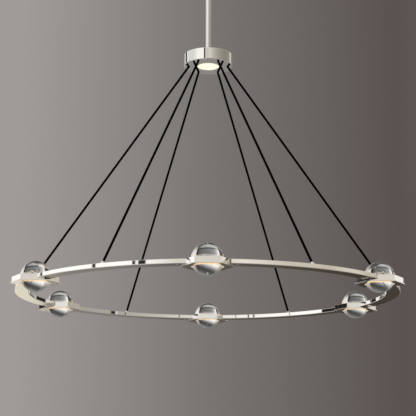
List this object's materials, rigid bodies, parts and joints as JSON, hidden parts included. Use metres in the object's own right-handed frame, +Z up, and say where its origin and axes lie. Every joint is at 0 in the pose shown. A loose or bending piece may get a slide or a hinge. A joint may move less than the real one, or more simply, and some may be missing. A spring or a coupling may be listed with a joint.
{
  "type": "ring chandelier",
  "caption": "Round ring chandelier: crystal balls in lit collars on a flat polished-nickel ring, hung on black cords from a hub with a downlight, on a stem with a swivel canopy.",
  "frame": {"origin": "centre of the ceiling face, on the back of the ceiling bracket", "axes": "+Z up into the ceiling, -Y towards the viewer of the picture, +X to the viewer's right"},
  "size_m": [1.2198, 1.3052, 1.201],
  "materials": {
    "polished_nickel": "polished nickel",
    "steel": "zinc plated",
    "earth_green": "green lacquer",
    "crystal": "clear, polished",
    "black_cord": "tight black braid",
    "cable_sheath": "plain sheath",
    "warm_diffuser": "frosted, lit",
    "circuit_board": "white board",
    "lamp_aluminium": "plain turned",
    "nylon": "smooth nylon",
    "silicone": "translucent, matte",
    "driver_white": "moulded case",
    "terminal_ivory": "moulded"
  },
  "bodies": {
    "ceiling": {"ceiling_bracket": "steel", "canopy": "polished_nickel", "canopy_studs": "steel", "cap_nuts": "polished_nickel", "earth_screw": "earth_green", "led_driver": "driver_white", "terminal_block": "terminal_ivory"},
    "seat": {"swivel_seat": "nylon"},
    "fixture": {"swivel_ball": "polished_nickel", "stem": "polished_nickel", "stem_cable": "cable_sheath", "hub_nipple": "steel", "hub_nut": "steel", "hub_cap": "polished_nickel", "hub_plate": "polished_nickel", "hub_posts": "steel", "hub_screws": "steel", "cord_sockets": "steel", "lamp_lens": "warm_diffuser", "lamp_can": "lamp_aluminium", "lamp_board": "circuit_board", "cord_1": "black_cord", "cord_2": "black_cord", "cord_3": "black_cord", "cord_4": "black_cord", "cord_5": "black_cord", "cord_6": "black_cord", "cord_ferrules": "polished_nickel", "anchor_nuts": "steel", "led_leads": "cable_sheath", "bar_1": "polished_nickel", "bar_2": "polished_nickel", "bar_3": "polished_nickel", "bar_4": "polished_nickel", "bar_5": "polished_nickel", "bar_6": "polished_nickel", "bar_screws": "steel", "collar_1": "polished_nickel", "collar_2": "polished_nickel", "collar_3": "polished_nickel", "collar_4": "polished_nickel", "collar_5": "polished_nickel", "collar_6": "polished_nickel", "trim_ring_1": "polished_nickel", "trim_ring_2": "polished_nickel", "trim_ring_3": "polished_nickel", "trim_ring_4": "polished_nickel", "trim_ring_5": "polished_nickel", "trim_ring_6": "polished_nickel", "trim_screws": "steel", "light_rings": "warm_diffuser", "led_strips": "circuit_board", "gaskets": "silicone"},
    "crystal_1": {"crystal_1": "crystal"},
    "crystal_2": {"crystal_2": "crystal"},
    "crystal_3": {"crystal_3": "crystal"},
    "crystal_4": {"crystal_4": "crystal"},
    "crystal_5": {"crystal_5": "crystal"},
    "crystal_6": {"crystal_6": "crystal"}
  },
  "joints": [
    {"name": "swivel_turn", "type": "hinge", "parent": "ceiling", "child": "seat", "pos_m": [0, 0, -0.032], "axis": [0, 0, 1], "range_deg": [-170, 170]},
    {"name": "swivel_tilt", "type": "hinge", "parent": "seat", "child": "fixture", "pos_m": [0, 0, -0.032], "axis": [1, 0, 0], "range_deg": [-20, 20]},
    {"name": "crystal_1_lift", "type": "slide", "parent": "fixture", "child": "crystal_1", "axis": [0, 0, 1], "range_m": [0, 0.06]},
    {"name": "crystal_2_lift", "type": "slide", "parent": "fixture", "child": "crystal_2", "axis": [0, 0, 1], "range_m": [0, 0.06]},
    {"name": "crystal_3_lift", "type": "slide", "parent": "fixture", "child": "crystal_3", "axis": [0, 0, 1], "range_m": [0, 0.06]},
    {"name": "crystal_4_lift", "type": "slide", "parent": "fixture", "child": "crystal_4", "axis": [0, 0, 1], "range_m": [0, 0.06]},
    {"name": "crystal_5_lift", "type": "slide", "parent": "fixture", "child": "crystal_5", "axis": [0, 0, 1], "range_m": [0, 0.06]},
    {"name": "crystal_6_lift", "type": "slide", "parent": "fixture", "child": "crystal_6", "axis": [0, 0, 1], "range_m": [0, 0.06]}
  ]
}
